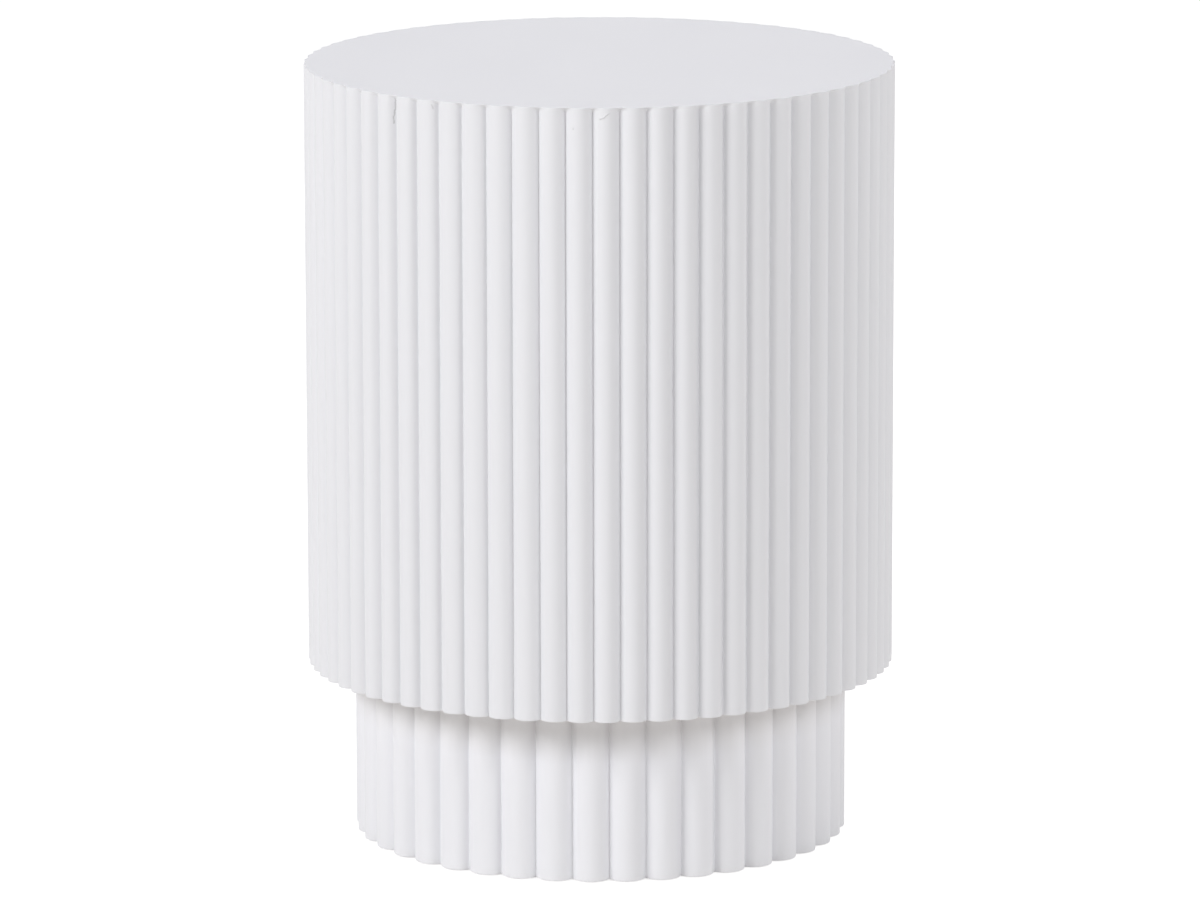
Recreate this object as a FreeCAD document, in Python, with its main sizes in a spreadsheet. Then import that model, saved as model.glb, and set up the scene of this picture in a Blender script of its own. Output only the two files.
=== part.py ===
import FreeCAD, Part
import Sketcher
import os

# Round side table: a wide reeded drum on a narrower reeded plinth.
# Millimetres, +Z up, origin on the floor under the middle, front towards -Y.

# Driving dimensions: name, value, what it measures
SIZES = (
    ("table_height", 530, "floor to table top"),
    ("drum_diameter", 400, "over the crests of the drum's reeds"),
    ("plinth_diameter", 336, "over the crests of the plinth's reeds"),
    ("plinth_height", 118, "floor to the underside of the drum"),
    ("drum_reed_count", 69, "reeds round the drum"),
    ("drum_reed_depth", 4.8, "crest to the valley between two reeds"),
    ("drum_reed_thickness", 8, "crest to flat back"),
    ("drum_reed_turn_angle", 1.19, "front to the nearest crest, towards +X"),
    ("plinth_reed_count", 41, "reeds round the plinth"),
    ("plinth_reed_depth", 5.6, "crest to the valley between two reeds"),
    ("plinth_reed_thickness", 9, "crest to flat back"),
    ("plinth_reed_turn_angle", -2.34, "front to the nearest crest, towards +X"),
    ("glue_gap", 0.1, "glue line between glued faces"),
    ("fit_clearance", 0.2, "room for a piece in its notch or hole"),
    ("cut_overrun", 1, "how far a cut runs past the face it opens"),
    ("skin_thickness", 5, "bending plywood between the drum's two boards"),
    ("skin_seam_gap", 0.8, "between the two ends of the skin"),
    ("top_thickness", 18, "table top"),
    ("drum_base_thickness", 18, "board that closes the drum"),
    ("former_thickness", 15, "plywood ring half way up the drum"),
    ("former_rim_width", 30, "the ring's width at the corners of its opening"),
    ("former_height_share", 0.5, "place of the ring between the drum's two boards"),
    ("upright_count", 6, "uprights in the drum"),
    ("upright_thickness", 18, "across an upright"),
    ("upright_depth", 40, "from the skin inwards"),
    ("plinth_top_thickness", 18, "board on top of the plinth"),
    ("plinth_base_thickness", 12, "board that closes the plinth"),
    ("block_count", 4, "glue blocks in the plinth"),
    ("block_width", 44, "across a glue block"),
    ("block_depth", 36, "from the reeds inwards"),
    ("screw_count", 4, "coach screws that hold the drum on the plinth"),
    ("screw_diameter", 6, "shank"),
    ("screw_length", 32, "under the head"),
    ("screw_head_width", 10, "across the flats"),
    ("screw_head_height", 4, "hexagon head"),
    ("screw_circle_share", 0.62, "screw circle over the plinth's boards"),
    ("glide_diameter", 24, "glide stuck under each glue block"),
    ("glide_thickness", 4, "floor to the board it is stuck to"),
    ("glide_stand", 1, "how far a glide stands below the reeds"),
)

doc = FreeCAD.newDocument("round_side_table")
sizes = doc.addObject("Spreadsheet::Sheet", "sizes")
for row, (size_name, value, note) in enumerate(SIZES, start=1):
    sizes.set("A%d" % row, size_name)
    sizes.set("B%d" % row, str(value))
    sizes.set("C%d" % row, note)
    sizes.setAlias("B%d" % row, size_name)
doc.recompute()

# Fits and places, worked out from the driving dimensions
fits = doc.addObject("App::VarSet", "fits")


def derive(name, formula):
    fits.addProperty("App::PropertyFloat", name)
    fits.setExpression(name, formula)


for ring in ("drum", "plinth"):
    names = {"ring": ring}
    derive(ring + "_crest_radius", "sizes.%(ring)s_diameter / 2" % names)
    derive(ring + "_valley_radius", "fits.%(ring)s_crest_radius - sizes.%(ring)s_reed_depth" % names)
    derive(ring + "_back_radius", "fits.%(ring)s_crest_radius - sizes.%(ring)s_reed_thickness" % names)
    derive(ring + "_half_step", "180 / sizes.%(ring)s_reed_count" % names)
    derive(ring + "_shoulder_across",
           "fits.%(ring)s_valley_radius * sin(fits.%(ring)s_half_step * 1 deg) - sizes.glue_gap / 2" % names)
    derive(ring + "_shoulder_out",
           "fits.%(ring)s_valley_radius * cos(fits.%(ring)s_half_step * 1 deg)" % names)
    derive(ring + "_back_across",
           "fits.%(ring)s_back_radius * tan(fits.%(ring)s_half_step * 1 deg) - sizes.glue_gap / 2" % names)
    derive(ring + "_face_rise", "fits.%(ring)s_crest_radius - fits.%(ring)s_shoulder_out" % names)
    derive(ring + "_face_radius",
           "(fits.%(ring)s_shoulder_across ^ 2 + fits.%(ring)s_face_rise ^ 2)"
           " / (2 * fits.%(ring)s_face_rise)" % names)

derive("drum_board_radius", "fits.drum_back_radius - sizes.glue_gap")
derive("skin_inner_radius", "fits.drum_board_radius - sizes.skin_thickness")
derive("drum_frame_radius", "fits.skin_inner_radius - sizes.glue_gap")
derive("drum_height", "sizes.table_height - sizes.plinth_height")
derive("drum_inside_floor", "sizes.plinth_height + sizes.drum_base_thickness")
derive("top_floor", "sizes.table_height - sizes.top_thickness")
derive("drum_inside_height", "fits.top_floor - fits.drum_inside_floor")
derive("former_floor",
       "fits.drum_inside_floor + (fits.drum_inside_height - sizes.former_thickness) * sizes.former_height_share")
derive("former_corner_radius", "fits.drum_frame_radius - sizes.former_rim_width")
derive("notch_half_width", "sizes.upright_thickness / 2 + sizes.fit_clearance / 2")
derive("notch_inner", "fits.drum_frame_radius - sizes.upright_depth - sizes.fit_clearance / 2")

derive("plinth_board_radius", "fits.plinth_back_radius - sizes.glue_gap")
derive("plinth_reed_length", "sizes.plinth_height - sizes.glide_stand")
derive("plinth_inside_floor", "sizes.glide_thickness + sizes.plinth_base_thickness")
derive("plinth_top_floor", "sizes.plinth_height - sizes.plinth_top_thickness")
derive("plinth_inside_height", "fits.plinth_top_floor - fits.plinth_inside_floor")
derive("block_middle", "fits.plinth_board_radius - sizes.block_depth / 2")

derive("screw_circle", "fits.plinth_board_radius * sizes.screw_circle_share")
derive("screw_across", "fits.screw_circle * sin(180 deg / sizes.screw_count)")
derive("screw_out", "fits.screw_circle * cos(180 deg / sizes.screw_count)")
derive("screw_hole_radius", "sizes.screw_diameter / 2 + sizes.fit_clearance / 2")
derive("screw_head_corner", "sizes.screw_head_width / sqrt(3)")
derive("screw_point_floor", "fits.drum_inside_floor - sizes.screw_length")
derive("screw_hole_floor",
       "fits.screw_point_floor - fits.plinth_top_floor - sizes.fit_clearance")
doc.recompute()

pieces = []


def number(formula):
    return float(sizes.evalExpression(formula))


def origin_feature(body, role):
    return next(item for item in body.Origin.OriginFeatures if item.Role == role)


def new_body(label, floor="0", turn="0"):
    """A piece of the table, raised to its floor and turned about the middle."""
    body = doc.addObject("PartDesign::Body", label)
    body.Label = label
    body.setExpression("Placement.Base.z", floor)
    body.setExpression("Placement.Rotation.Angle", turn)
    pieces.append(body)
    return body


def new_sketch(body, name, across="0", out="0", up="0"):
    """A level sketch, its own middle moved across, out from the centre and up."""
    sketch = body.newObject("Sketcher::SketchObject", name)
    sketch.AttachmentSupport = [(origin_feature(body, "XY_Plane"), "")]
    sketch.MapMode = "FlatFace"
    sketch.setExpression("AttachmentOffset.Base.x", across)
    sketch.setExpression("AttachmentOffset.Base.y", out)
    sketch.setExpression("AttachmentOffset.Base.z", up)
    return sketch


def pin_point(sketch, edge, end, place):
    """Tie one point of the sketch to the formulas of its place."""
    for kind, formula in (("DistanceX", place[0]), ("DistanceY", place[1])):
        index = sketch.addConstraint(Sketcher.Constraint(kind, edge, end, number(formula)))
        sketch.setExpression("Constraints[%d]" % index, formula)


def tie_radius(sketch, edge, radius):
    index = sketch.addConstraint(Sketcher.Constraint("Radius", edge, number(radius)))
    sketch.setExpression("Constraints[%d]" % index, radius)


def draw_circle(sketch, radius):
    middle = FreeCAD.Vector(0, 0, 0)
    edge = sketch.addGeometry(Part.Circle(middle, FreeCAD.Vector(0, 0, 1), number(radius)), False)
    sketch.addConstraint(Sketcher.Constraint("Coincident", edge, 3, -1, 1))
    tie_radius(sketch, edge, radius)


def draw_polygon(sketch, corners):
    """A closed outline of straight lines, each corner tied to its formulas."""
    points = [FreeCAD.Vector(number(across), number(out), 0) for across, out in corners]
    for edge, start in enumerate(points):
        following = (edge + 1) % len(points)
        sketch.addGeometry(Part.LineSegment(start, points[following]), False)
    for edge, corner in enumerate(corners):
        following = (edge + 1) % len(points)
        sketch.addConstraint(Sketcher.Constraint("Coincident", edge, 2, following, 1))
        pin_point(sketch, edge, 1, corner)


def draw_arched_bar(sketch, half_foot, foot, half_head, shoulder, crown, radius):
    """A bar that is the same on both sides, its far end an arc up to the crown."""
    across = (number(half_foot), number(half_head))
    left_foot = FreeCAD.Vector(-across[0], number(foot), 0)
    right_foot = FreeCAD.Vector(across[0], number(foot), 0)
    right_head = FreeCAD.Vector(across[1], number(shoulder), 0)
    left_head = FreeCAD.Vector(-across[1], number(shoulder), 0)
    top = FreeCAD.Vector(0, number(crown), 0)
    sketch.addGeometry([
        Part.LineSegment(left_foot, right_foot),
        Part.LineSegment(right_foot, right_head),
        Part.Arc(right_head, top, left_head),
        Part.LineSegment(left_head, left_foot),
    ], False)
    for edge in range(4):
        sketch.addConstraint(Sketcher.Constraint("Coincident", edge, 2, (edge + 1) % 4, 1))
    pin_point(sketch, 0, 1, ("-(%s)" % half_foot, foot))
    pin_point(sketch, 0, 2, (half_foot, foot))
    pin_point(sketch, 1, 2, (half_head, shoulder))
    pin_point(sketch, 2, 2, ("-(%s)" % half_head, shoulder))
    tie_radius(sketch, 2, radius)


def pad(body, name, sketch, height):
    feature = body.newObject("PartDesign::Pad", name)
    feature.Profile = sketch
    feature.setExpression("Length", height)
    return feature


def pocket(body, name, sketch, height):
    """Cut upwards from the plane of the sketch."""
    feature = body.newObject("PartDesign::Pocket", name)
    feature.Profile = sketch
    feature.Reversed = True
    feature.setExpression("Length", height)
    return feature


def repeat_round(body, name, features, count):
    """Copies of the features, spaced evenly round the middle of the table."""
    pattern = body.newObject("PartDesign::PolarPattern", name)
    pattern.Originals = features
    pattern.Axis = (origin_feature(body, "Z_Axis"), [""])
    pattern.Angle = 360
    pattern.setExpression("Occurrences", count)
    body.Tip = pattern


def round_board(label, floor, radius, thickness):
    body = new_body(label, floor)
    sketch = new_sketch(body, label + "_outline")
    draw_circle(sketch, radius)
    pad(body, label + "_board", sketch, thickness)
    return body


def screw_holes(body, name, floor, height):
    sketch = new_sketch(body, name + "_outline", "fits.screw_across", "fits.screw_out", floor)
    draw_circle(sketch, "fits.screw_hole_radius")
    hole = pocket(body, name + "_first", sketch, height)
    repeat_round(body, name, [hole], "sizes.screw_count")


def reeds(label, ring, floor, length):
    """Half-round mouldings stood side by side, their flat backs to the frame."""
    body = new_body(label, floor, "180 + sizes.%s_reed_turn_angle" % ring)
    profile = new_sketch(body, label + "_profile")
    draw_arched_bar(profile,
                    half_foot="fits.%s_back_across" % ring,
                    foot="fits.%s_back_radius" % ring,
                    half_head="fits.%s_shoulder_across" % ring,
                    shoulder="fits.%s_shoulder_out" % ring,
                    crown="fits.%s_crest_radius" % ring,
                    radius="fits.%s_face_radius" % ring)
    moulding = pad(body, label + "_first", profile, length)
    repeat_round(body, label + "_round", [moulding], "sizes.%s_reed_count" % ring)


def curved_post(label, frame_radius, floor, height, thickness, depth, turn):
    """A post whose outer face follows the curve of the frame."""
    body = new_body(label, floor, turn)
    half = "%s / 2" % thickness
    outline = new_sketch(body, label + "_outline")
    draw_arched_bar(outline,
                    half_foot=half,
                    foot="%s - %s" % (frame_radius, depth),
                    half_head=half,
                    shoulder="sqrt(%s ^ 2 - (%s) ^ 2)" % (frame_radius, half),
                    crown=frame_radius,
                    radius=frame_radius)
    pad(body, label + "_post", outline, height)


def drum_skin():
    """Plywood bent to a tube, its two ends meeting at the back over an upright."""
    body = new_body("drum_skin", "fits.drum_inside_floor")
    tube = new_sketch(body, "skin_outline")
    draw_circle(tube, "fits.drum_board_radius")
    draw_circle(tube, "fits.skin_inner_radius")
    pad(body, "skin_tube", tube, "fits.drum_inside_height")
    seam = new_sketch(body, "seam_outline")
    half_gap = "sizes.skin_seam_gap / 2"
    inside = "fits.skin_inner_radius - sizes.cut_overrun"
    outside = "fits.drum_board_radius + sizes.cut_overrun"
    draw_polygon(seam, (
        ("-" + half_gap, inside),
        (half_gap, inside),
        (half_gap, outside),
        ("-" + half_gap, outside),
    ))
    pocket(body, "skin_seam", seam, "fits.drum_inside_height")


def drum_former():
    """A plywood ring, notched for the uprights, the flats of its opening behind them."""
    body = new_body("drum_former", "fits.former_floor")
    outline = new_sketch(body, "former_outline")
    draw_circle(outline, "fits.drum_frame_radius")
    pad(body, "former_disc", outline, "sizes.former_thickness")
    opening = new_sketch(body, "former_opening_outline")
    sides = int(number("sizes.upright_count"))
    draw_polygon(opening, [
        ("fits.former_corner_radius * sin(%d * 180 deg / sizes.upright_count)" % turn,
         "fits.former_corner_radius * cos(%d * 180 deg / sizes.upright_count)" % turn)
        for turn in range(1, 2 * sides, 2)])
    pocket(body, "former_opening", opening, "sizes.former_thickness")
    notch = new_sketch(body, "former_notch_outline")
    outside = "fits.drum_frame_radius + sizes.cut_overrun"
    draw_polygon(notch, (
        ("-fits.notch_half_width", "fits.notch_inner"),
        ("fits.notch_half_width", "fits.notch_inner"),
        ("fits.notch_half_width", outside),
        ("-fits.notch_half_width", outside),
    ))
    first_notch = pocket(body, "former_notch", notch, "sizes.former_thickness")
    repeat_round(body, "former_notches", [first_notch], "sizes.upright_count")


def drum():
    round_board("top_panel", "fits.top_floor", "fits.drum_board_radius", "sizes.top_thickness")
    reeds("drum_reeds", "drum", "sizes.plinth_height", "fits.drum_height")
    drum_skin()
    drum_former()
    for place in range(int(number("sizes.upright_count"))):
        curved_post("drum_upright_%d" % (place + 1), "fits.drum_frame_radius", "fits.drum_inside_floor",
                    "fits.drum_inside_height", "sizes.upright_thickness", "sizes.upright_depth",
                    "360 / sizes.upright_count * %d" % place)
    base = round_board("drum_base_panel", "sizes.plinth_height", "fits.drum_board_radius",
                       "sizes.drum_base_thickness")
    screw_holes(base, "drum_screw_holes", "0", "sizes.drum_base_thickness")


def plinth():
    top = round_board("plinth_top_panel", "fits.plinth_top_floor", "fits.plinth_board_radius",
                      "sizes.plinth_top_thickness")
    screw_holes(top, "plinth_screw_holes", "fits.screw_hole_floor",
                "sizes.plinth_top_thickness - fits.screw_hole_floor")
    reeds("plinth_reeds", "plinth", "sizes.glide_stand", "fits.plinth_reed_length")
    round_board("plinth_base_panel", "sizes.glide_thickness", "fits.plinth_board_radius",
                "sizes.plinth_base_thickness")
    for place in range(int(number("sizes.block_count"))):
        turn = "360 / sizes.block_count * %d" % place
        curved_post("plinth_block_%d" % (place + 1), "fits.plinth_board_radius",
                    "fits.plinth_inside_floor", "fits.plinth_inside_height",
                    "sizes.block_width", "sizes.block_depth", turn)
        glide("glide_%d" % (place + 1), turn)


def glide(label, turn):
    body = new_body(label, "0", turn)
    outline = new_sketch(body, label + "_outline", out="fits.block_middle")
    draw_circle(outline, "sizes.glide_diameter / 2")
    pad(body, label + "_disc", outline, "sizes.glide_thickness")


def plinth_screws():
    """Coach screws, driven down through the drum's base into the plinth's top."""
    body = new_body("plinth_screws", "fits.screw_point_floor")
    shank = new_sketch(body, "screw_shank_outline", "fits.screw_across", "fits.screw_out")
    draw_circle(shank, "sizes.screw_diameter / 2")
    shank_pad = pad(body, "screw_shank", shank, "sizes.screw_length")
    head = new_sketch(body, "screw_head_outline", "fits.screw_across", "fits.screw_out", "sizes.screw_length")
    draw_polygon(head, [
        ("fits.screw_head_corner * cos(%d deg)" % turn, "fits.screw_head_corner * sin(%d deg)" % turn)
        for turn in range(30, 390, 60)])
    head_pad = pad(body, "screw_head", head, "sizes.screw_head_height")
    repeat_round(body, "screws_round", [shank_pad, head_pad], "sizes.screw_count")


def check_model():
    """Stop before anything is written if a feature failed or a cut removed nothing."""
    for item in doc.Objects:
        if "Invalid" in item.State or "Error" in item.State:
            raise RuntimeError("%s did not rebuild: %s" % (item.Label, item.State))
        if item.TypeId == "PartDesign::Pocket" and item.Shape.Volume >= item.BaseFeature.Shape.Volume:
            raise RuntimeError("%s cuts nothing" % item.Label)
    for body in pieces:
        if body.Shape.isNull() or not body.Shape.isValid() or not body.Shape.Solids:
            raise RuntimeError("%s has no valid solid" % body.Label)


def write_pieces():
    os.makedirs("parts", exist_ok=True)
    for body in pieces:
        body.Shape.exportStep("parts/%s.step" % body.Label)
        print("%s: solids %d" % (body.Label, len(body.Shape.Solids)))


drum()
plinth()
plinth_screws()
doc.recompute()
check_model()
write_pieces()
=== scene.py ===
import math
import random

import bpy
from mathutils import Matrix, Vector, noise


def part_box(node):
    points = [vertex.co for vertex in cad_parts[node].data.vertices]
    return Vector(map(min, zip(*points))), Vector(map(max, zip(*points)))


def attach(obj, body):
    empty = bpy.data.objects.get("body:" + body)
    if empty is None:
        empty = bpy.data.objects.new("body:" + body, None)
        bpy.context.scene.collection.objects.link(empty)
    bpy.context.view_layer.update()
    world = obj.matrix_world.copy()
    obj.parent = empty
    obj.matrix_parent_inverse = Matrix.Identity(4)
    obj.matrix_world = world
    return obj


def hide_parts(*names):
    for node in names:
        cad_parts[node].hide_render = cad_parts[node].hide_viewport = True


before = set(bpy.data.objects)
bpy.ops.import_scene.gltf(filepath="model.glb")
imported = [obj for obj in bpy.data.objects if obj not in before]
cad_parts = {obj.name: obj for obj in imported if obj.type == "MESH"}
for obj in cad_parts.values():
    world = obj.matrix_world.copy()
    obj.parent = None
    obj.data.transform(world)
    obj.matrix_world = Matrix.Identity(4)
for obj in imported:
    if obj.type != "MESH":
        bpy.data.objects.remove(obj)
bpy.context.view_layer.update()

# Reeding, in metres and degrees, and the seeds of its random draws
CREST_OVER_DRUM = 0.200
DRUM_REEDS = 69
DRUM_REED_ROUND = 0.00935
DRUM_REED_TURN = 1.27
DRUM_WIDE_REED = -3
DRUM_WIDE_BY = 0.0007
DRUM_REED_BACK = 0.192
DRUM_SEED = 11
BOARD_THICKNESS = 0.018
CREST_OVER_PLINTH = 0.168
PLINTH_REEDS = 41
PLINTH_REED_ROUND = 0.0132
PLINTH_REED_TURN = -2.38
PLINTH_WIDE_REED = -1
PLINTH_WIDE_BY = 0.0004
PLINTH_REED_BACK = 0.159
PLINTH_SEED = 23

# Hand work: lengths in metres, plain factors, and the radians of sway in a metre of height
RIM_EASING = 0.0004
FOOT_EASING = 0.0004
PLINTH_EASING = 0.0008
PAINT_IN_VALLEY = 0.0015
PAINT_VARIES_BY = 0.45
PAINT_VARIES_OVER = 0.05
NOTCH_CUT = 1.3
FILLER_SET_BACK = 0.0014
FILLER_DEPTH = 0.0048
FILLER_LENGTH = 0.0032
FILLER_ENDS_AFTER = 2.0
FILLER_CURVE = 1.2
FILLER_FILLET = 0.0016
PLACING_ERROR = 0.00010
SANDED_OFF = 0.00012
RIPPLE = 0.00007
RIPPLE_LENGTH = 0.030
SWAY = 0.00008
SWAY_PER_METRE = 21

# How far apart valleys, reeds and the two sides of a reed lie in the noise that varies them
VALLEYS_APART = 3.1
REEDS_APART = 5.7
ACROSS_APART = 0.9

# Marks on the drum, each a row of (degrees from the front towards +X, height in metres), and
# how wide they are, in metres
CRACK = ((-43.46, 0.5270), (-43.52, 0.5205), (-43.72, 0.5140), (-43.66, 0.5110))
CRACK_WIDTH = 0.00039
PAINT_RUN = ((0.15, 0.5226), (0.75, 0.5235), (1.20, 0.5252), (1.70, 0.5261))
PAINT_RUN_WIDTH = 0.0011
CHIP = ((-33.80, 0.5268), (-33.57, 0.5242))
CHIP_WIDTH = 0.0006
PIT = ((-4.93, 0.5162), (-4.93, 0.5158))
PIT_WIDTH = 0.0008

# How far the marks wander from side to side, in metres, and the scale of the noise that moves them
RAGGED_BY = 0.0012
RAGGED_SCALE = 400.0

# How strongly the marks darken the paint, and how strongly the painted highlight on the run of paint
# lightens it
CRACK_DARKENS = 1.2
CRACK_DARKEST = 0.42
CHIP_DARKENS = 0.35
PIT_DARKENS = 0.25
RUN_HIGHLIGHT_SHARE = 0.5

# Heights that the paint's strokes and marks add or take away, in metres
STROKE_HEIGHT = 0.000022
GRAIN_HEIGHT = 0.000006
PATCH_HEIGHT = 0.00005
RUN_HEIGHT = 0.00055
CRACK_DEPTH = 0.00012
PIT_DEPTH = 0.00020

# Linear colours of the paint. Close under the drum the plinth's paint is darker and warmer, a
# painted shade of the drum's overhang: it starts at one height and is full from the other.
BROKEN_PAINT = (0.36, 0.35, 0.35)
# Painted highlight on the raised run of paint
RUN_PAINTED_HIGHLIGHT = (0.90, 0.90, 0.92)
PAINTED_SHADE_UNDER_DRUM = (0.786, 0.779, 0.780)
SHADE_UNDER_DRUM_FROM = 0.082
SHADE_UNDER_DRUM_FULL = 0.104
DRUM_PAINT = (0.820, 0.826, 0.848)
# The plinth has the drum's white paint, made lighter and bluer here as painted light.
PLINTH_PAINT_PAINTED_BRIGHTER = (0.858, 0.864, 0.892)

# How far across half a reed its columns of points stand, from crest to valley
ACROSS_HALF = (0.16, 0.32, 0.48, 0.62, 0.74, 0.84, 0.92, 0.97, 1.0)

# How far below the rim's easing the drum's upper rings of points stand, in metres
BELOW_RIM = (
    0.026, 0.018, 0.012, 0.0085, 0.0070, 0.0058, 0.0047, 0.0037, 0.0028, 0.0020, 0.0013, 0.0006
)

# How far above the easing of its foot the drum's lowest rings of points stand, and how far apart
# the rings of the two walls are, in metres
ABOVE_FOOT = (0.0010, 0.007)
DRUM_RINGS_APART = 0.010
PLINTH_RINGS_APART = 0.005

# How far in from the eased edge the first ring of points on the flat of an end stands, in metres
IN_FROM_FOOT = 0.0006
IN_FROM_RIM = 0.0005

# Round rings on the table top and under its board, as (radius in metres, n), with every nth
# column of the reeds, and the n of the rings behind the reeds
TOP_RINGS = ((0.190, 1), (0.180, 3), (0.150, 9), (0.080, 27))
UNDER_TOP_RINGS = ((0.080, 27), (0.150, 9), (DRUM_REED_BACK, 3))
STEP_BEHIND_REEDS = 3

# Edges stay sharp from this angle on, in degrees
SHARP_FROM = 75

# A glide's profile, in shares of its radius and height: the dimple in its sole, and its back
GLIDE_DIMPLE = ((0.16, 0.16), (0.22, 0.05), (0.28, 0.0))
GLIDE_SOLE = 0.86
GLIDE_BACK = ((1.0, 0.9), (0.985, 1.0), (0.5, 1.0))
GLIDE_EDGE_STEPS = 6
GLIDE_AROUND = 72

# Surroundings, in metres and linear colours
AIR_COLOUR = (0.975, 0.98, 1.0)
AIR_STRENGTH = 0.36
FLOOR_HALF = 30.0
FLOOR_COLOUR = (0.938, 0.905, 0.858)
FLOOR_SEEN = (0.45, 0.45, 0.45)
FLOOR_LIFT = 0.83

# Lamps: name, azimuth and elevation in degrees, distance, width and height in metres, watts, colour
LAMPS = (
    ("key_softbox", -55, 29, 6.0, 3.2, 2.0, 179.0, (0.975, 0.98, 1.0)),
    ("fill_softbox", 43, 29, 6.0, 2.2, 1.8, 75.5, (0.975, 0.98, 1.0)),
    ("top_softbox", 0, 90, 3.0, 1.2, 1.2, 7.5, (1.0, 0.90, 1.0)),
    ("side_softbox", 105, 10, 6.0, 1.6, 1.6, 46.0, (0.99, 0.98, 1.0)),
    ("back_softbox", 180, 20, 3.0, 1.2, 1.2, 7.0, (1.0, 1.0, 1.0)),
)
LAMPS_AIM_AT = (0, 0, 0.27)

# The photograph's camera: millimetres, metres and degrees
SENSOR_WIDTH = 36.0
LENS = 242.1
CAMERA_PLACE = (0.0, -5.394, 1.372)
CAMERA_TURN = (78.367, 0.098, -0.020)
SEEN_AS_FAR_AS = 100.0


def soft_max(first, second, reach):
    """The larger of two lengths, with a round fillet where they are within reach of each other."""
    near = max(reach - abs(first - second), 0.0) / reach
    return max(first, second) + near * near * reach / 4


class ReedRing:
    """Half-round mouldings glued side by side round a drum, painted so that the valleys fill a little."""

    def __init__(self, count, turn, crest, face, wide_reed, wide_by, seed):
        draw = random.Random(seed)
        step = (math.tau - wide_by / crest) / count
        self.count = count
        self.crest = crest
        self.seed = seed
        self.middles = []
        self.widths = []
        for reed in range(count):
            from_front = reed - count if reed > count / 2 else reed
            moved = draw.uniform(-1, 1) * PLACING_ERROR
            width = step * crest
            if from_front < wide_reed:
                moved -= wide_by
            if from_front == wide_reed:
                moved -= wide_by / 2
                width += wide_by
            self.middles.append(math.radians(turn) + step * from_front + moved / crest)
            self.widths.append(width)
        self.dips = [draw.uniform(0, SANDED_OFF) for _ in range(count)]
        self.faces = [
            face + (width - step * crest) / 2 + draw.uniform(-1, 1) * SANDED_OFF
            for width in self.widths
        ]
        self.phases = [draw.uniform(0, math.tau) for _ in range(count)]
        half = step / 2
        middle = crest - face
        self.valley = middle * math.cos(half) + math.sqrt(face**2 - (middle * math.sin(half)) ** 2)
        shares = (*(-share for share in reversed(ACROSS_HALF)), 0.0, *ACROSS_HALF[:-1])
        self.columns = [(reed, share) for reed in range(count) for share in shares]

    def angle(self, reed, share):
        """Where a column stands, in radians from the front towards +X."""
        beside = (reed + (1 if share > 0 else -1)) % self.count
        apart = abs((self.middles[beside] - self.middles[reed] + math.pi) % math.tau - math.pi)
        own_part = self.widths[reed] / (self.widths[reed] + self.widths[beside])
        return self.middles[reed] + share * apart * own_part

    def face_at(self, reed, angle, inset):
        """How far out the round face of one reed reaches, or its middle where it doesn't reach."""
        reed %= self.count
        off = (angle - self.middles[reed] + math.pi) % math.tau - math.pi
        middle = self.crest - self.dips[reed] - self.faces[reed]
        inside = (self.faces[reed] - inset) ** 2 - (middle * math.sin(off)) ** 2
        return middle * math.cos(off) + math.sqrt(max(inside, 0.0))

    def reach(self, reed, share, height, inset, from_rim):
        """How far out the painted surface is at a column and a height, set in by the easing of an end."""
        swing = math.sin(height * SWAY_PER_METRE + self.phases[reed])
        sway = SWAY / self.crest * swing * (1 - share * share)
        angle = self.angle(reed, share)
        own = self.face_at(reed, angle + sway, inset)
        beside = self.face_at(reed + (1 if share > 0 else -1), angle, inset)
        gap = reed + (1 if share > 0 else 0)
        spot = Vector((gap % self.count * VALLEYS_APART, height / PAINT_VARIES_OVER, self.seed))
        paint = PAINT_IN_VALLEY * (1 + PAINT_VARIES_BY * noise.noise(spot))
        surface = soft_max(own, beside, paint)
        surface = soft_max(surface, self.valley - NOTCH_CUT * inset, PAINT_IN_VALLEY / 2)
        below = min(from_rim / FILLER_LENGTH, FILLER_ENDS_AFTER) ** FILLER_CURVE
        filler = self.crest - inset - FILLER_SET_BACK - FILLER_DEPTH * below
        surface = soft_max(surface, filler, FILLER_FILLET)
        along_noise = reed * REEDS_APART + share * ACROSS_APART
        spot = Vector((along_noise, height / RIPPLE_LENGTH, self.seed + 0.5))
        return surface - RIPPLE * (1 + noise.noise(spot)) / 2

    def ring(self, height, from_rim=1.0, inset=0.0, inwards=0.0):
        """One ring of points over the reeds. Close below a rim, filler stops up the valleys."""
        points = []
        for reed, share in self.columns:
            out = self.reach(reed, share, height, inset, from_rim) - inwards
            angle = self.angle(reed, share)
            points.append((out * math.sin(angle), -out * math.cos(angle), height))
        return points

    def plain_ring(self, radius, height, every):
        """A round ring with every nth column of the reeds."""
        points = []
        for reed, share in self.columns[::every]:
            angle = self.angle(reed, share)
            points.append((radius * math.sin(angle), -radius * math.cos(angle), height))
        return points

    def eased_end(self, end, easing, steps, upwards, at_rim=False):
        """Rings that round a reed's end over, from its face to the flat of the end."""
        rings = []
        for step in range(steps + 1):
            turn = math.pi / 2 * step / steps
            along = easing * (1 - math.sin(turn))
            height = end - along if upwards else end + along
            rings.append(self.ring(height, along if at_rim else 1.0, easing * (1 - math.cos(turn))))
        return rings if upwards else rings[::-1]


def spaced(low, high, spacing):
    """Heights between two ends, about spacing apart, without the ends."""
    count = max(int(round((high - low) / spacing)), 1)
    return [low + (high - low) * step / count for step in range(1, count)]


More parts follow.
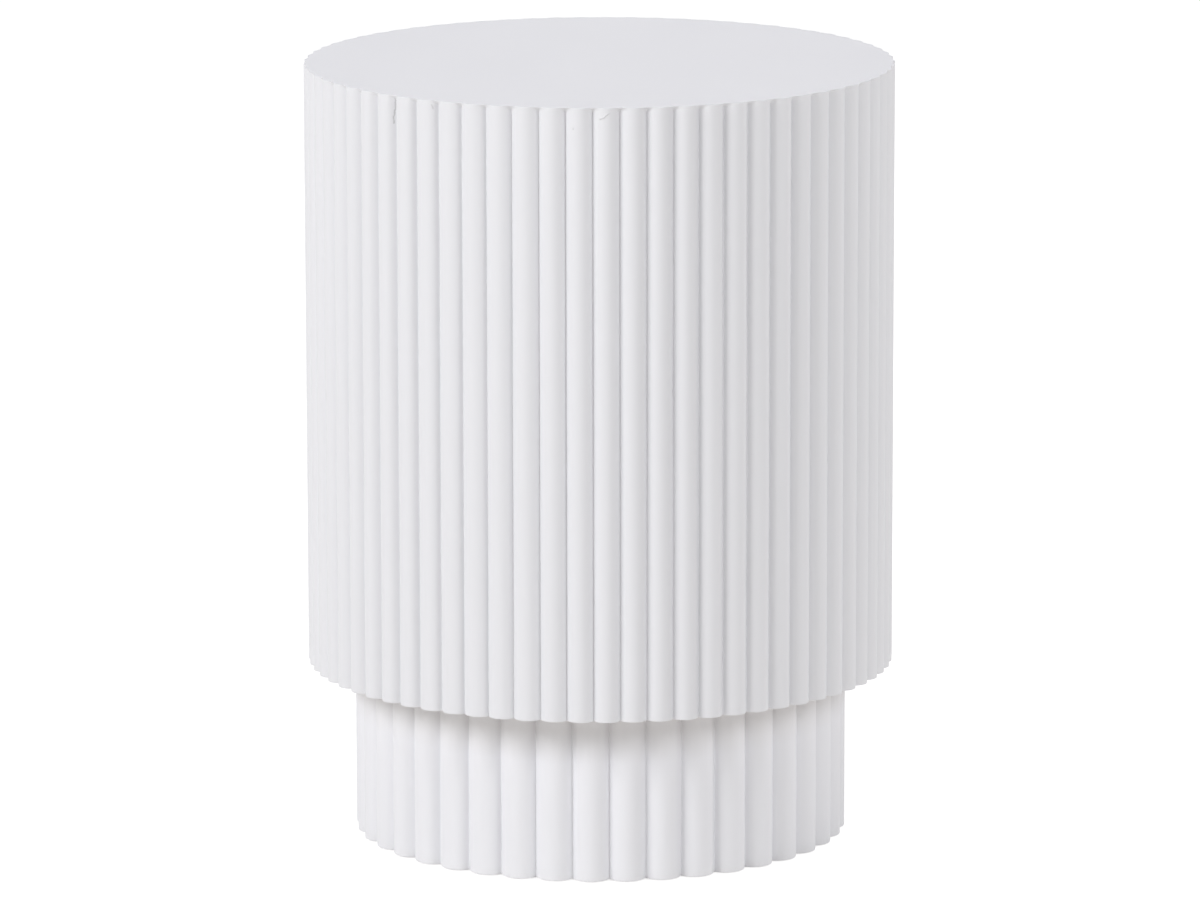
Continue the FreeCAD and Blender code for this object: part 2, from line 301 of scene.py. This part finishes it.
def skin_over(name, rings, joined=False):
    """A mesh piece over rings of points.

    A ring may have a whole number of times more points than the one next to it.
    """
    points = [point for ring in rings for point in ring]
    starts = []
    start = 0
    for ring in rings:
        starts.append(start)
        start += len(ring)
    faces = []
    pairs = list(zip(range(len(rings) - 1), range(1, len(rings))))
    if joined:
        pairs.append((len(rings) - 1, 0))
    for lower, upper in pairs:
        below, above = len(rings[lower]), len(rings[upper])
        fewer = min(below, above)
        low_share, high_share = below // fewer, above // fewer
        for place in range(fewer):
            low_run = [
                starts[lower] + (place * low_share + step) % below for step in range(low_share + 1)
            ]
            high_run = [
                starts[upper] + (place * high_share + step) % above for step in range(high_share + 1)
            ]
            faces.append(low_run + high_run[::-1])
    if not joined:
        faces.append([starts[0] + place for place in reversed(range(len(rings[0])))])
        faces.append([starts[-1] + place for place in range(len(rings[-1]))])
    mesh = bpy.data.meshes.new(name)
    mesh.from_pydata(points, [], faces)
    mesh.shade_smooth()
    mesh.set_sharp_from_angle(angle=math.radians(SHARP_FROM))
    mesh.validate()
    piece = bpy.data.objects.new(name, mesh)
    bpy.context.scene.collection.objects.link(piece)
    return piece


def painted_drum():
    """The reeded drum and its flush round top, under one skin of paint."""
    reeds = ReedRing(
        DRUM_REEDS,
        DRUM_REED_TURN,
        CREST_OVER_DRUM,
        DRUM_REED_ROUND,
        DRUM_WIDE_REED,
        DRUM_WIDE_BY,
        DRUM_SEED,
    )
    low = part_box("drum_reeds")[0].z
    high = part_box("top_panel")[1].z
    inside_top = high - BOARD_THICKNESS
    rings = [reeds.plain_ring(radius, inside_top, every) for radius, every in UNDER_TOP_RINGS]
    rings.append(reeds.plain_ring(DRUM_REED_BACK, low, STEP_BEHIND_REEDS))
    rings.append(reeds.ring(low, inset=FOOT_EASING, inwards=IN_FROM_FOOT))
    rings += reeds.eased_end(low, FOOT_EASING, steps=4, upwards=False)
    wall_low = low + FOOT_EASING
    wall_high = high - RIM_EASING
    rings += [reeds.ring(wall_low + step) for step in ABOVE_FOOT]
    evenly = spaced(wall_low + ABOVE_FOOT[-1], wall_high - BELOW_RIM[0], DRUM_RINGS_APART)
    rings += [reeds.ring(height) for height in evenly]
    rings += [reeds.ring(wall_high - step, RIM_EASING + step) for step in BELOW_RIM]
    rings += reeds.eased_end(high, RIM_EASING, steps=4, upwards=True, at_rim=True)
    rings.append(reeds.ring(high, 0.0, inset=RIM_EASING, inwards=IN_FROM_RIM))
    rings += [reeds.plain_ring(radius, high, every) for radius, every in TOP_RINGS]
    drum = skin_over("painted_drum", rings)
    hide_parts("top_panel", "drum_reeds")
    return drum


def painted_plinth():
    """The wider reeds round the plinth, stood a little off the floor by the glides."""
    reeds = ReedRing(
        PLINTH_REEDS,
        PLINTH_REED_TURN,
        CREST_OVER_PLINTH,
        PLINTH_REED_ROUND,
        PLINTH_WIDE_REED,
        PLINTH_WIDE_BY,
        PLINTH_SEED,
    )
    low, high = (corner.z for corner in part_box("plinth_reeds"))
    rings = [
        reeds.plain_ring(PLINTH_REED_BACK, high, STEP_BEHIND_REEDS),
        reeds.plain_ring(PLINTH_REED_BACK, low, STEP_BEHIND_REEDS),
        reeds.ring(low, inset=PLINTH_EASING, inwards=IN_FROM_FOOT),
    ]
    rings += reeds.eased_end(low, PLINTH_EASING, steps=5, upwards=False)
    wall_low, wall_high = low + PLINTH_EASING, high - PLINTH_EASING
    rings += [reeds.ring(height) for height in spaced(wall_low, wall_high, PLINTH_RINGS_APART)]
    rings += reeds.eased_end(high, PLINTH_EASING, steps=4, upwards=True)
    plinth = skin_over("painted_plinth", rings, joined=True)
    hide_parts("plinth_reeds")
    return plinth


def nylon_glide(node):
    """A nylon glide with a rounded sole and a shallow dimple where it was moulded."""
    lowest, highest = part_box(node)
    centre = (lowest + highest) / 2
    radius = (highest.x - lowest.x) / 2
    tall = highest.z - lowest.z
    sole = radius * GLIDE_SOLE
    profile = [(radius * out, tall * up) for out, up in GLIDE_DIMPLE]
    for step in range(GLIDE_EDGE_STEPS + 1):
        turn = math.pi / 2 * step / GLIDE_EDGE_STEPS
        out = sole + (radius - sole) * math.sin(turn)
        profile.append((out, (radius - sole) * (1 - math.cos(turn))))
    profile += [(radius * out, tall * up) for out, up in GLIDE_BACK]
    rings = [
        [
            (
                centre.x + out * math.sin(math.tau * place / GLIDE_AROUND),
                centre.y - out * math.cos(math.tau * place / GLIDE_AROUND),
                lowest.z + up,
            )
            for place in range(GLIDE_AROUND)
        ]
        for out, up in profile
    ]
    glide = skin_over("nylon_" + node, rings)
    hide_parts(node)
    return glide


class Reading:
    """One output of a node. Sums and products of readings add the Math nodes that work them out."""

    def __init__(self, finish, socket):
        self.finish = finish
        self.socket = socket

    def maths(self, operation, first, second):
        return self.finish.add("ShaderNodeMath", {"operation": operation}, {0: first, 1: second})

    def __add__(self, other):
        return self.maths("ADD", self, other)

    def __radd__(self, other):
        return self.maths("ADD", other, self)

    def __sub__(self, other):
        return self.maths("SUBTRACT", self, other)

    def __rsub__(self, other):
        return self.maths("SUBTRACT", other, self)

    def __mul__(self, other):
        return self.maths("MULTIPLY", self, other)

    def __rmul__(self, other):
        return self.maths("MULTIPLY", other, self)

    def __truediv__(self, other):
        return self.maths("DIVIDE", self, other)

    def __rtruediv__(self, other):
        return self.maths("DIVIDE", other, self)

    def at_least(self, other):
        return self.maths("MAXIMUM", self, other)

    def at_most(self, other):
        return self.maths("MINIMUM", self, other)

    def output(self, name):
        """Another output of the same node."""
        return Reading(self.finish, self.socket.node.outputs[name])


class Finish:
    """A finish made of nodes, for a material or the world."""

    def __init__(self, holder):
        holder.use_nodes = True
        self.holder = holder
        self.tree = holder.node_tree
        self.tree.nodes.clear()

    def add(self, kind, settings=None, sockets=None, output=0):
        """Adds a node: first its settings, then the values or links of its sockets."""
        node = self.tree.nodes.new(kind)
        for name, value in (settings or {}).items():
            setattr(node, name, value)
        shown = [socket for socket in node.inputs if socket.enabled]
        for name, value in (sockets or {}).items():
            if isinstance(name, int):
                socket = shown[name]
            else:
                socket = next(each for each in shown if each.name == name)
            if isinstance(value, Reading):
                self.tree.links.new(value.socket, socket)
            else:
                socket.default_value = value
        outputs = [socket for socket in node.outputs if socket.enabled]
        if not outputs:
            return None
        if isinstance(output, str):
            return Reading(self, node.outputs[output])
        return Reading(self, outputs[output])

    def place(self):
        """Where a point is on the object, in metres."""
        return self.add("ShaderNodeTexCoord", output="Object")

    def stretched(self, place, scale):
        return self.add("ShaderNodeMapping", {}, {"Vector": place, "Scale": scale})

    def cloud(self, place, size, detail=2.0, roughness=0.5):
        """Soft noise from 0 to 1 whose lumps are about size metres wide."""
        settings = {"noise_dimensions": "3D"}
        sockets = {"Vector": place, "Scale": 1 / size, "Detail": detail, "Roughness": roughness}
        return self.add("ShaderNodeTexNoise", settings, sockets)

    def blend(self, share, first, second):
        """A colour between two others."""
        settings = {"data_type": "RGBA", "blend_type": "MIX", "clamp_factor": True}
        return self.add("ShaderNodeMix", settings, {"Factor": share, "A": first, "B": second})

    def vector(self, operation, first, second, output="Vector"):
        settings = {"operation": operation}
        return self.add("ShaderNodeVectorMath", settings, {0: first, 1: second}, output)

    def unrolled(self, place, radius):
        """Where a point is on the drum's wall rolled out flat: along it from the front, and its height."""
        across = self.add("ShaderNodeSeparateXYZ", {}, {"Vector": place})
        inwards, height = across.output("Y"), across.output("Z")
        turn = across.maths("ARCTAN2", across, inwards * -1)
        return self.add("ShaderNodeCombineXYZ", {}, {"X": turn * radius, "Y": height, "Z": 0.0})

    def stroke(self, flat, points, radius, width):
        """1 on a line through some points on the unrolled wall, fading to 0 at width from it."""
        share = None
        spots = [Vector((math.radians(turn) * radius, height, 0)) for turn, height in points]
        for start, end in zip(spots, spots[1:]):
            run = end - start
            offset = self.vector("SUBTRACT", flat, start)
            along = self.vector("DOT_PRODUCT", offset, run / run.length_squared, "Value")
            nearest = self.vector("SCALE", run, along.at_least(0.0).at_most(1.0))
            away = self.vector("DISTANCE", offset, nearest, "Value")
            near = (1 - away / width).at_least(0.0)
            share = near if share is None else share.at_least(near)
        return share

    def bumped(self, height):
        """A normal from a height in metres."""
        return self.add("ShaderNodeBump", {}, {"Height": height, "Strength": 1.0, "Distance": 1.0})

    def coat(self, sockets):
        """Ends the finish with a shader that has these sockets."""
        shader = self.add("ShaderNodeBsdfPrincipled", {}, sockets)
        self.add("ShaderNodeOutputMaterial", {}, {"Surface": shader})
        return self.holder


def colour(red, green, blue):
    return (red, green, blue, 1.0)


def new_finish(name):
    return Finish(bpy.data.materials.new(name))


def brushed_white_paint(name, tone, along, marked):
    """Matte white paint over filled wood: faint clouds of thicker paint, and strokes along the reeds.

    The strokes are along times as long as they are wide. Marked paint has the drum's marks, and
    paint without them has a painted shade, darker and warmer, close under the drum.
    """
    finish = new_finish(name)
    place = finish.place()
    thick = finish.cloud(place, size=0.045, detail=3.0)
    patches = finish.cloud(place, size=0.012)
    drawn_out = finish.stretched(place, (1, 1, 1 / along))
    strokes = finish.cloud(drawn_out, size=0.0016, detail=3.0, roughness=0.6)
    grain = finish.cloud(place, size=0.0007, roughness=0.6)
    bare = finish.blend(thick, colour(*(part * 0.985 for part in tone)), colour(*tone))
    shade = finish.blend(patches * 0.25, bare, colour(tone[0], tone[1] * 0.99, tone[2] * 0.975))
    height = strokes * STROKE_HEIGHT + grain * GRAIN_HEIGHT + patches * PATCH_HEIGHT
    if marked:
        flat = finish.unrolled(place, CREST_OVER_DRUM)
        sockets = {"Vector": place, "Scale": RAGGED_SCALE}
        wander = finish.add("ShaderNodeTexNoise", {}, sockets, "Color")
        ragged = finish.vector("SUBTRACT", wander, (0.5, 0.5, 0.5))
        flat_ragged = finish.vector("ADD", flat, finish.vector("SCALE", ragged, RAGGED_BY))
        crack = finish.stroke(flat_ragged, CRACK, CREST_OVER_DRUM, CRACK_WIDTH)
        chip = finish.stroke(flat_ragged, CHIP, CREST_OVER_DRUM, CHIP_WIDTH)
        pit = finish.stroke(flat, PIT, CREST_OVER_DRUM, PIT_WIDTH)
        run_and_highlight = finish.stroke(flat_ragged, PAINT_RUN, CREST_OVER_DRUM, PAINT_RUN_WIDTH)
        cracked = (crack * CRACK_DARKENS).at_most(CRACK_DARKEST)
        broken = cracked + chip * CHIP_DARKENS + pit * PIT_DARKENS
        shade = finish.blend(broken, shade, colour(*BROKEN_PAINT))
        # The run of paint stands proud in the bump; its lighter colour is a painted highlight.
        shade = finish.blend(run_and_highlight * RUN_HIGHLIGHT_SHARE, shade, colour(*RUN_PAINTED_HIGHLIGHT))
        height = height + run_and_highlight * run_and_highlight * RUN_HEIGHT - crack * CRACK_DEPTH - pit * PIT_DEPTH
    else:
        # Painted shade of the drum's overhang: the plinth's paint turns darker and warmer close under the
        # drum.
        level = finish.add("ShaderNodeSeparateXYZ", {}, {"Vector": place}).output("Z")
        painted_shade = ((level - SHADE_UNDER_DRUM_FROM) / (SHADE_UNDER_DRUM_FULL - SHADE_UNDER_DRUM_FROM)).at_least(0.0).at_most(1.0)
        shade = finish.blend(painted_shade, shade, colour(*PAINTED_SHADE_UNDER_DRUM))
    return finish.coat(
        {
            "Base Color": shade,
            "Roughness": 0.54 + thick * 0.10 + grain * 0.06,
            "Normal": finish.bumped(height),
            "Specular IOR Level": 0.42,
        }
    )


def bare_plywood():
    """Birch plywood: pale veneer with long grain, and darker glue lines on its edges."""
    finish = new_finish("bare_plywood")
    place = finish.place()
    long_grain = finish.stretched(place, (1, 1, 0.06))
    grain = finish.cloud(long_grain, size=0.004, detail=4.0, roughness=0.6)
    long_figure = finish.stretched(place, (1, 1, 0.2))
    figure = finish.cloud(long_figure, size=0.05)
    veneer = finish.blend(grain, colour(0.66, 0.50, 0.33), colour(0.78, 0.63, 0.44))
    warm = finish.blend(figure * 0.4, veneer, colour(0.70, 0.50, 0.30))
    return finish.coat(
        {
            "Base Color": warm,
            "Roughness": 0.55 + grain * 0.2,
            "Normal": finish.bumped(grain * 0.00004),
        }
    )


def planed_pine():
    """Planed pine: growth rings round a heart that lies off to one side, and fine grain along the post."""
    finish = new_finish("planed_pine")
    place = finish.place()
    up_the_post = finish.stretched(place, (1, 1, 0.1))
    wander = finish.cloud(up_the_post, size=0.06)
    settings = {"wave_type": "RINGS", "rings_direction": "Z", "wave_profile": "SAW"}
    sockets = {"Vector": place, "Scale": 45.0, "Distortion": 2.5, "Detail": 2.0}
    rings = finish.add("ShaderNodeTexWave", settings, sockets, output="Fac")
    fine_grain = finish.stretched(place, (1, 1, 0.04))
    grain = finish.cloud(fine_grain, size=0.002, detail=3.0, roughness=0.6)
    late = rings * 0.7 + wander * 0.3
    wood = finish.blend(late, colour(0.80, 0.64, 0.42), colour(0.66, 0.44, 0.22))
    streaked = finish.blend(grain * 0.25, wood, colour(0.86, 0.72, 0.52))
    return finish.coat(
        {
            "Base Color": streaked,
            "Roughness": 0.5 + grain * 0.2,
            "Normal": finish.bumped(grain * 0.00003 + rings * 0.00004),
        }
    )


def raw_fibreboard():
    """Fibreboard: an even brown with fine pressed fibres."""
    finish = new_finish("raw_fibreboard")
    place = finish.place()
    fibres = finish.cloud(place, size=0.0012, detail=4.0, roughness=0.7)
    patches = finish.cloud(place, size=0.03)
    board = finish.blend(fibres, colour(0.42, 0.30, 0.19), colour(0.60, 0.46, 0.32))
    shade = finish.blend(patches * 0.3, board, colour(0.50, 0.36, 0.23))
    return finish.coat(
        {
            "Base Color": shade,
            "Roughness": 0.75 + fibres * 0.15,
            "Normal": finish.bumped(fibres * 0.00003),
        }
    )


def zinc_plated_steel():
    """Zinc plate on a screw: dull bluish metal with cloudy crystals."""
    finish = new_finish("zinc_plated_steel")
    place = finish.place()
    crystals = finish.cloud(place, size=0.002, detail=3.0, roughness=0.6)
    metal = finish.blend(crystals, colour(0.50, 0.51, 0.53), colour(0.68, 0.69, 0.71))
    return finish.coat(
        {
            "Base Color": metal,
            "Metallic": 1.0,
            "Roughness": 0.28 + crystals * 0.2,
            "Normal": finish.bumped(crystals * 0.00001),
        }
    )


def scuffed_nylon():
    """Pale grey nylon, scuffed on the sole."""
    finish = new_finish("scuffed_nylon")
    place = finish.place()
    sideways = finish.stretched(place, (1, 0.15, 1))
    scuffs = finish.cloud(sideways, size=0.002, detail=3.0, roughness=0.7)
    clouds = finish.cloud(place, size=0.008)
    plastic = finish.blend(clouds, colour(0.50, 0.49, 0.47), colour(0.60, 0.59, 0.57))
    worn = finish.blend(scuffs * 0.3, plastic, colour(0.42, 0.41, 0.39))
    return finish.coat(
        {
            "Base Color": worn,
            "Roughness": 0.38 + scuffs * 0.25,
            "Normal": finish.bumped(scuffs * 0.00002),
        }
    )


def dress(piece, finish):
    """Gives a piece one finish in every slot of its object."""
    if not piece.material_slots:
        piece.data.materials.append(None)
    for slot in piece.material_slots:
        slot.link = "OBJECT"
        slot.material = finish


def finish_the_pieces():
    """Makes the painted pieces and the glides, and gives every piece its finish."""
    drum_paint = brushed_white_paint("white_paint_on_drum", DRUM_PAINT, along=22, marked=True)
    # The plinth's paint is lighter and bluer as painted light, with painted shade under the drum.
    plinth_paint_with_painted_light = brushed_white_paint("white_paint_on_plinth_with_painted_light", PLINTH_PAINT_PAINTED_BRIGHTER, along=18, marked=False)
    nylon = scuffed_nylon()
    made = [(painted_drum(), drum_paint, "white_paint"), (painted_plinth(), plinth_paint_with_painted_light, "white_paint")]
    made += [(nylon_glide(f"glide_{number}"), nylon, "glide_nylon") for number in range(1, 5)]
    for piece, finish, slot in made:
        dress(piece, finish)
        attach(piece, "root")
    plywood, pine = bare_plywood(), planed_pine()
    inside = {
        "drum_base_panel": drum_paint,
        "plinth_base_panel": plinth_paint_with_painted_light,
        "drum_skin": plywood,
        "drum_former": plywood,
        "plinth_top_panel": raw_fibreboard(),
        "plinth_screws": zinc_plated_steel(),
    }
    inside.update({f"drum_upright_{number}": pine for number in range(1, 7)})
    inside.update({f"plinth_block_{number}": pine for number in range(1, 5)})
    for node, finish in inside.items():
        dress(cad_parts[node], finish)


def seen_directly(finish):
    """1 for what the camera sees, also in a mirror or through glass."""
    path = finish.add("ShaderNodeLightPath", output="Is Camera Ray")
    return path + path.output("Is Glossy Ray") + path.output("Is Transmission Ray")


def studio_air():
    """Soft light from all round, white where the camera sees it."""
    world = bpy.data.worlds.new("studio_air")
    bpy.context.scene.world = world
    finish = Finish(world)
    air = {"Color": colour(*AIR_COLOUR), "Strength": AIR_STRENGTH}
    lit = finish.add("ShaderNodeBackground", {}, air)
    seen = finish.add("ShaderNodeBackground", {}, {"Color": colour(1, 1, 1), "Strength": 1.0})
    mixed = finish.add("ShaderNodeMixShader", {}, {0: seen_directly(finish), 1: lit, 2: seen})
    finish.add("ShaderNodeOutputWorld", {}, {"Surface": mixed})


def paper_floor():
    """A wide white floor, which keeps a faint shadow of the table."""
    half = FLOOR_HALF
    mesh = bpy.data.meshes.new("paper_floor")
    corners = [(-half, -half, 0), (half, -half, 0), (half, half, 0), (-half, half, 0)]
    mesh.from_pydata(corners, [], [(0, 1, 2, 3)])
    floor = bpy.data.objects.new("paper_floor", mesh)
    bpy.context.scene.collection.objects.link(floor)
    finish = new_finish("white_paper")
    paper = finish.add("ShaderNodeBsdfDiffuse", {}, {"Color": colour(*FLOOR_COLOUR)})
    bright = finish.add(
        "ShaderNodeBsdfPrincipled",
        {},
        {
            "Base Color": colour(*FLOOR_SEEN),
            "Roughness": 1.0,
            "Specular IOR Level": 0.0,
            "Emission Color": colour(1, 1, 1),
            "Emission Strength": FLOOR_LIFT,
        },
    )
    shader = finish.add("ShaderNodeMixShader", {}, {0: seen_directly(finish), 1: paper, 2: bright})
    finish.add("ShaderNodeOutputMaterial", {}, {"Surface": shader})
    mesh.materials.append(finish.holder)


def softbox(name, azimuth, elevation, distance, width, height, power, tint):
    """A soft lamp. Azimuth 0 is in front of the table and 90 to its right, in degrees."""
    lamp = bpy.data.lights.new(name, "AREA")
    lamp.shape = "RECTANGLE"
    lamp.size = width
    lamp.size_y = height
    lamp.energy = power
    lamp.color = tint
    holder = bpy.data.objects.new(name, lamp)
    turn, rise = math.radians(azimuth), math.radians(elevation)
    away = Vector(
        (math.sin(turn) * math.cos(rise), -math.cos(turn) * math.cos(rise), math.sin(rise))
    )
    holder.location = Vector(LAMPS_AIM_AT) + away * distance
    holder.rotation_euler = (-away).to_track_quat("-Z", "Y").to_euler()
    bpy.context.scene.collection.objects.link(holder)


def camera_of_the_photograph():
    """Looks along +Y from a little above the table."""
    camera = bpy.data.cameras.new("camera")
    camera.sensor_width = SENSOR_WIDTH
    camera.lens = LENS
    camera.clip_end = SEEN_AS_FAR_AS
    holder = bpy.data.objects.new("camera", camera)
    holder.location = CAMERA_PLACE
    holder.rotation_euler = [math.radians(turn) for turn in CAMERA_TURN]
    bpy.context.scene.collection.objects.link(holder)
    bpy.context.scene.camera = holder


finish_the_pieces()
studio_air()
paper_floor()
for lamp in LAMPS:
    softbox(*lamp)
camera_of_the_photograph()
bpy.context.scene.view_settings.view_transform = "Standard"
